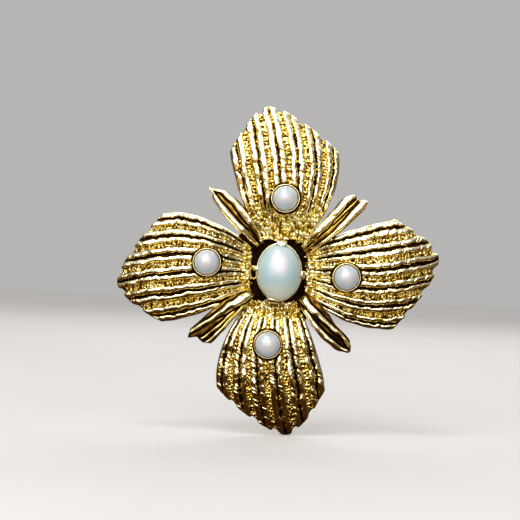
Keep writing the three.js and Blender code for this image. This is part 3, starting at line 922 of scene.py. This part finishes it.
def cup_piece(side, quarter):
    """A thin-walled bezel cup with a rolled rim, a post through the petal and a peened head."""
    inside = CUP_RADIUS - CUP_WALL
    corners = [
        (0.0, CUP_REAR),
        (0.75, CUP_REAR + 0.02),
        (1.1, CUP_REAR + 0.22),
        (1.08, CUP_REAR + 0.5),
        (0.65, CUP_REAR + 0.52),
        (0.65, CUP_SEAT),
        (CUP_RADIUS, CUP_SEAT),
        (CUP_RADIUS - 0.05, CUP_SEAT + 0.35),
        (CUP_RADIUS - 0.05, CUP_RIM - 0.25),
        (CUP_RADIUS, CUP_RIM - 0.15),
        (CUP_RADIUS, CUP_RIM),
        (inside, CUP_RIM),
        (inside, CUP_RIM - 0.2),
        (inside, PEARL_BASE - SOLDER_GAP),
        (0.0, PEARL_BASE - SOLDER_GAP),
    ]
    centre = pearl_centre(side)
    profile = rounded(corners, steps=5)
    points, faces = lathe(profile, 72, centre, wobble=0.008, seed=40 + quarter)
    x, heights, z = points[:, 0] - centre[0], -points[:, 1], points[:, 2] - centre[1]
    turn = np.arctan2(x, z)
    # Painted light: the outside pales towards the rim as painted highlight, with painted uneven glints
    # round the ring, and the inside wall gets painted shade.
    outside = np.clip(0.3 + (heights - CUP_SEAT) / (CUP_RIM - CUP_SEAT) * 0.8, 0.3, 1.0)
    outside = outside * (0.85 + 0.15 * np.sin(turn * 3.0 + quarter) * np.sin(turn * 7.0))
    shade = np.where((np.hypot(x, z) < inside + 0.04) & (heights < CUP_RIM - 0.1), 0.25, outside)
    return make_piece(f"bezel_cup_{side}", points, faces, shade, sharp_degrees=60.0)


def pearl_piece(side, quarter):
    """A half pearl, very slightly out of true."""
    girdle = CUP_RIM - 0.25
    radius = PEARL_RADIUS + 0.04
    profile = [(0.0, PEARL_BASE), (radius * 0.8, PEARL_BASE), (radius * 0.98, PEARL_BASE + 0.3)]
    profile += dome(radius, girdle, PEARL_TOP - girdle, 22)
    points, faces = lathe(profile, 56, pearl_centre(side), wobble=0.004, seed=50 + quarter)
    return make_piece(f"half_pearl_{side}", points, faces)


def build_pearls(gold, pearl):
    for quarter, side in enumerate(SIDES):
        place(cup_piece(side, quarter), "flower", f"pearl_cup_{side}", gold)
        place(pearl_piece(side, quarter), "flower", f"pearl_{side}", pearl)


# -------------------- centre stone and setting


def stone_piece():
    """The oval cabochon: flat back, short girdle and a full dome."""
    girdle_top = STONE_BASE + STONE_GIRDLE
    profile = [(0.0, STONE_BASE), (0.94, STONE_BASE), (0.99, STONE_BASE + 0.12), (1.0, STONE_BASE + 0.3)]
    profile += dome(1.0, girdle_top, STONE_TOP - girdle_top, 40, fullness=0.94)
    points, faces = lathe(profile, 96)
    points = points * np.array([STONE_HALF_WIDTH, 1.0, STONE_HALF_HEIGHT])
    x, z = points[:, 0], points[:, 2]
    # A rose-white glow is painted high in the middle of the stone as a soft highlight; the colour grows
    # creamier towards the bottom.
    painted_highlight_blob = bump(np.hypot(x, 0.7 * (z - 1.4)), 1.6)
    painted_glow_and_cream = 0.45 + 0.55 * painted_highlight_blob - 0.4 * rise(-z, -0.5, STONE_HALF_HEIGHT)
    return make_piece("pearly_cabochon", points, faces, painted_glow_and_cream)


def bent_claw(stone_radius, clockwise, half_width, top, half_thickness):
    """A claw that rises beside the stone and folds over its edge, round in section."""
    low = STONE_BASE - 0.75
    shoulder = STONE_BASE + STONE_GIRDLE
    crown = STONE_TOP - shoulder
    rows, around = 26, 20
    points = []
    for i in range(rows + 1):
        s = i / rows
        height = low + (top - low) * s
        up = max(0.0, height - shoulder) / crown
        hug = stone_radius * math.sqrt(1.0 - up * up) + 0.06
        end = math.sqrt(max(0.0, 1.0 - max(0.0, (s - 0.78) / 0.22) ** 2))
        wide = half_width * (0.45 + 0.55 * end)
        thick = half_thickness * (0.3 + 0.7 * end) * (0.55 + 0.45 * s)
        for k in range(around):
            angle = 2 * math.pi * k / around
            points.append((wide * math.cos(angle), -height, hug + thick + thick * math.sin(angle)))
    faces = [tuple(reversed(range(around)))]
    for i in range(rows):
        for k in range(around):
            after = (k + 1) % around
            a, b = i * around, (i + 1) * around
            faces.append((a + k, a + after, b + after, b + k))
    faces.append(tuple(range(rows * around, (rows + 1) * around)))
    return turned_clockwise(np.array(points), clockwise), faces


def wire_loop(clockwise, distance, half_width, half_height, wire_radius, height):
    """A small closed oval of wire facing the front, this distance out from the stone's centre."""
    forward = Vector((0.0, -1.0, 0.0))
    points = []
    around, section = 36, 10
    for i in range(around):
        a = 2 * math.pi * i / around
        out = Vector((math.cos(a), 0.0, math.sin(a)))
        spot = Vector((half_width * math.cos(a), 0.0, half_height * math.sin(a)))
        for k in range(section):
            b = 2 * math.pi * k / section
            p = spot + out * wire_radius * math.cos(b) + forward * wire_radius * math.sin(b)
            points.append((p.x, p.y - height, p.z + distance))
    return turned_clockwise(np.array(points), clockwise), ring_faces(around, section)


def setting_piece():
    """The oval gallery with its flange and thin lip, and the claws that hold the stone."""
    low = PLATE_FRONT + SOLDER_GAP
    seat = STONE_BASE - SOLDER_GAP
    wall = [
        (-1.2, low),
        (-0.55, low),
        (-0.6, low + 0.4),
        (-0.6, seat - 0.8),
        (0.0, seat - 0.45),
        (0.2, seat - 0.2),
        (0.2, seat + 0.35),
        (0.14, seat + 0.5),
        (0.05, seat + 0.5),
        (0.03, seat),
        (-1.2, seat),
        (-1.2, low + 0.1),
    ]
    loop = wire_loop(267.5, STONE_HALF_WIDTH + 0.65, 1.1, 0.6, 0.16, STONE_BASE - 0.1)
    points, faces = joined(
        swept_oval(rounded(wall), STONE_HALF_WIDTH, STONE_HALF_HEIGHT, 96),
        bent_claw(STONE_HALF_HEIGHT, 3.0, 0.95, STONE_BASE + 1.9, 0.42),
        bent_claw(STONE_HALF_WIDTH, 95.0, 0.8, STONE_BASE + 1.3, 0.4),
        bent_claw(STONE_HALF_HEIGHT, 192.0, 1.15, STONE_BASE + 1.45, 0.34),
        bent_claw(STONE_HALF_WIDTH, 277.0, 0.5, STONE_BASE + 1.5, 0.45),
        loop,
    )
    heights = -points[:, 1]
    # Painted shade: the gallery darkens down towards the plate, and the wire loop is painted dim.
    dark_until = PLATE_FRONT + 0.8
    shade = np.clip((heights - dark_until) / (seat - dark_until), 0.0, 1.0)
    shade[-len(loop[0]):] = 0.36
    return make_piece("claw_setting", points, faces, shade, sharp_degrees=70.0)


def plate_piece():
    """The backing plate: a cast disc, stippled on the front and smoother on the back."""
    edge = 0.35
    half = PLATE_FRONT / 2
    rings_out = np.linspace(0.4, PLATE_RADIUS - edge, 40)
    profile = [(0.0, 0.0)]
    profile += [(radius, 0.0) for radius in rings_out]
    for k in range(1, 8):
        angle = math.pi * k / 8
        profile.append((PLATE_RADIUS - edge + edge * math.sin(angle), half - half * math.cos(angle)))
    profile += [(radius, PLATE_FRONT) for radius in rings_out[::-1]]
    profile.append((0.0, PLATE_FRONT))
    points, faces = lathe(profile, 160)
    x, z = points[:, 0], points[:, 2]
    on_front = rise(-points[:, 1], PLATE_FRONT - 0.1, PLATE_FRONT)
    stipple = grain(x / 0.45, z / 0.45, 71) + 0.5 * grain(x / 0.2, z / 0.2, 72)
    hammered = grain(x / 1.4, z / 1.4, 73) + 0.4 * grain(x / 0.5, z / 0.5, 74)
    on_rear = 1.0 - rise(-points[:, 1], 0.0, 0.1)
    points[:, 1] += on_front * (0.05 - 0.05 * stipple) - on_rear * (0.035 + 0.025 * hammered)
    # The front is painted near black as the shade of the deep recess round the stone; the back is plain
    # gold, its tone varying with the hammering.
    shade = np.where(on_front > 0.5, 0.12 + 0.1 * stipple, 0.86 + 0.1 * hammered)
    return make_piece("cast_back_plate", points, faces, np.clip(shade, 0.0, 1.0))


def build_centre(gold, dark_gold, stone):
    place(stone_piece(), "flower", "centre_cabochon", stone)
    place(setting_piece(), "flower", "centre_setting", gold)
    place(plate_piece(), "flower", "back_plate", dark_gold)


# -------------------- pin, hinge and catch


def along_x(points):
    """Stands a turned shape's axis along +X, level with the pin's hinge."""
    swapped = np.stack([-points[:, 1], points[:, 0], points[:, 2]], axis=-1)
    return swapped + np.array([0.0, PIN_HINGE.y, PIN_HINGE.z])


def along_z(points, centre):
    """Stands a turned shape's axis along +Z through a centre."""
    swapped = np.stack([points[:, 0], points[:, 2], -points[:, 1]], axis=-1)
    return swapped + np.array(centre)


def stem_piece():
    """Spring wire with a flattened eye round the rivet and a long ground point."""
    eye_radius = PIN_HINGE.x - extent("pin_stem")[0].x
    hole = 0.47
    half = 0.85
    profile = [(0.0, PIN_HINGE.x + 0.75), (0.42, PIN_HINGE.x + 0.75)]
    profile += [(WIRE_RADIUS * 1.08, PIN_HINGE.x + 1.5), (WIRE_RADIUS, PIN_HINGE.x + 2.6)]
    taper = PIN_TIP - 3.2
    profile += [(WIRE_RADIUS, taper - 12.0), (WIRE_RADIUS, taper)]
    for k in range(1, 9):
        f = k / 8
        profile.append((WIRE_RADIUS * (1.0 - f**1.5) + 0.04 * f, taper + (PIN_TIP - 0.06 - taper) * f))
    profile.append((0.0, PIN_TIP))
    wire, wire_faces = lathe(profile, 28)
    outline = [(hole, -half), (eye_radius, -half), (eye_radius, half), (hole, half), (hole, -half + 0.01)]
    eye, eye_faces = swept_oval(rounded(outline, radius=0.22)[1:-1], 0.0, 0.0, 48)
    points, faces = joined((along_x(wire), wire_faces), (along_z(eye, PIN_HINGE), eye_faces))
    return make_piece("spring_pin", points, faces, sharp_degrees=50.0)


def rivet_piece():
    """A rivet with two domed heads."""
    low, high = extent("hinge_rivet")
    half = (high.z - low.z) / 2
    head = (high.x - low.x) / 2
    seat = half - 0.35
    upper = [(0.42, seat), (head, seat)] + dome(head, seat + 0.08, 0.27, 7)[:-1]
    lower = [(radius, -height) for radius, height in reversed(upper)]
    profile = [(0.0, -half)] + lower + upper + [(0.0, half)]
    points, faces = lathe(profile, 32)
    return make_piece("domed_rivet", along_z(points, PIN_HINGE), faces, sharp_degrees=50.0)


def build_pin(findings, wire):
    place(stem_piece(), "pin", "pin_stem", wire)
    place(rivet_piece(), "flower", "hinge_rivet", findings)
    machined = (
        ("pin_bar", "pin_strip", "flower", 0.16),
        ("catch_housing", "catch_ring", "flower", 0.12),
        ("catch_rotor", "catch_sleeve", "catch", 0.08),
    )
    for node, name, body, edge in machined:
        place(softened_copy(node, name, edge), body, node, findings)


# -------------------- stage, light and camera


def floor_material():
    """Pale to the eye. Reflections see brown card under the flower, paler in front and behind."""
    material = bpy.data.materials.new("pale_floor")
    nodes = Nodes(material)
    pale = (0.4, 0.39, 0.375)
    darker = tuple(0.97 * channel for channel in pale)
    nodes.feed("Base Color", nodes.ramp(nodes.noise(40.0, detail=2.0), [(0.4, darker), (0.6, pale)]))
    nodes.set(Roughness=0.85, Emission_Color=(1.0, 0.98, 0.95, 1.0), Emission_Strength=0.22)
    distance = nodes.add("ShaderNodeMath", operation="ABSOLUTE")
    nodes.join(nodes.coordinate("Object", "Y"), distance.inputs[0])
    away = nodes.spread(distance.outputs["Value"], 0.0, 1.0, 45.0 * MM, 140.0 * MM)
    mottled = nodes.sum(away, nodes.noise(14.0, detail=2.0, roughness=0.5), 0.5)
    card = nodes.add("ShaderNodeBsdfDiffuse")
    card_color = nodes.ramp(mottled, [(0.25, (0.03, 0.01, 0.002)), (1.0, (0.36, 0.24, 0.09))])
    nodes.join(card_color, card.inputs["Color"])
    nodes.show_to("Is Glossy Ray", card.outputs["BSDF"])
    return material


def build_floor():
    """A wide pale floor just under the lowest petal."""
    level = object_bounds()[0].z / MM - 0.05
    half = 900.0
    corners = [(-half, -half, level), (half, -half, level), (half, half, level), (-half, half, level)]
    floor = make_piece("pale_floor", np.array(corners), [(0, 1, 2, 3)])
    floor.data.materials.append(floor_material())


def softbox(name, azimuth, elevation, distance, size, radiance, color=(1.0, 1.0, 1.0)):
    """A rectangular lamp facing the flower's centre; azimuth 0 is in front and 90 to the right."""
    a, e = math.radians(azimuth), math.radians(elevation)
    place_mm = Vector((math.sin(a) * math.cos(e), -math.cos(a) * math.cos(e), math.sin(e))) * distance
    data = bpy.data.lights.new(name, "AREA")
    data.shape = "RECTANGLE"
    data.size, data.size_y = size[0] * MM, size[1] * MM
    data.energy = radiance * math.pi * data.size * data.size_y
    data.color = color
    lamp = bpy.data.objects.new(name, data)
    lamp.location = place_mm * MM
    lamp.rotation_mode = "QUATERNION"
    lamp.rotation_quaternion = lamp.location.to_track_quat("Z", "Y")
    bpy.context.scene.collection.objects.link(lamp)


def build_light():
    """A broad panel in front, a brighter lamp high on the left, and a panel behind."""
    softbox("front_panel", -12.0, 24.0, 450.0, (620.0, 430.0), 2.7)
    softbox("key_light", -25.0, 62.0, 380.0, (130.0, 130.0), 13.0, (1.0, 0.99, 0.96))
    softbox("rear_panel", 170.0, 40.0, 450.0, (420.0, 300.0), 2.6)
    bpy.context.scene.world = studio_world()


def studio_world():
    """Lit from above and dark below, against an even grey backdrop."""
    world = bpy.data.worlds.new("studio")
    nodes = Nodes(world, "Background")
    above = nodes.spread(nodes.coordinate("Generated", "Z"), 0.0, 1.0, -1.0, 1.0)
    stops = [(0.45, (0.03, 0.014, 0.005)), (0.55, (0.1, 0.073, 0.045)), (0.85, (0.63, 0.62, 0.64))]
    nodes.feed("Color", nodes.ramp(above, stops))
    backdrop = nodes.add("ShaderNodeBackground")
    backdrop.inputs["Color"].default_value = (0.47, 0.465, 0.46, 1.0)
    nodes.show_to("Is Camera Ray", backdrop.outputs["Background"])
    return world


def build_camera():
    """Face-on, with the flower rolled 2 degrees clockwise and a little right of and below the middle."""
    view_width = 91.2
    data = bpy.data.cameras.new("camera")
    data.lens = 100.0
    data.sensor_width = 36.0
    distance = view_width * data.lens / data.sensor_width
    camera = bpy.data.objects.new("camera", data)
    camera.location = Vector((-3.4, -distance - 3.0, 2.0)) * MM
    roll = Matrix.Rotation(math.radians(2.0), 4, "Y")
    facing = Matrix.Rotation(math.radians(90.0), 4, "X")
    camera.matrix_world = Matrix.Translation(camera.location) @ roll.inverted() @ facing
    bpy.context.scene.collection.objects.link(camera)
    bpy.context.scene.camera = camera
    bpy.context.scene.view_settings.view_transform = "Standard"


gold = polished_gold()
build_petals(cast_gold())
build_leaves(gold)
build_pearls(gold, nacre())
build_centre(gold, antiqued_gold(), pearlescent_stone())
findings = satin_gold("plated_findings", (0.72, 0.52, 0.22), (0.86, 0.68, 0.36), (0.24, 0.42))
wire = satin_gold("pin_wire", (0.8, 0.64, 0.34), (0.88, 0.76, 0.5), (0.16, 0.3))
build_pin(findings, wire)
build_floor()
build_light()
build_camera()
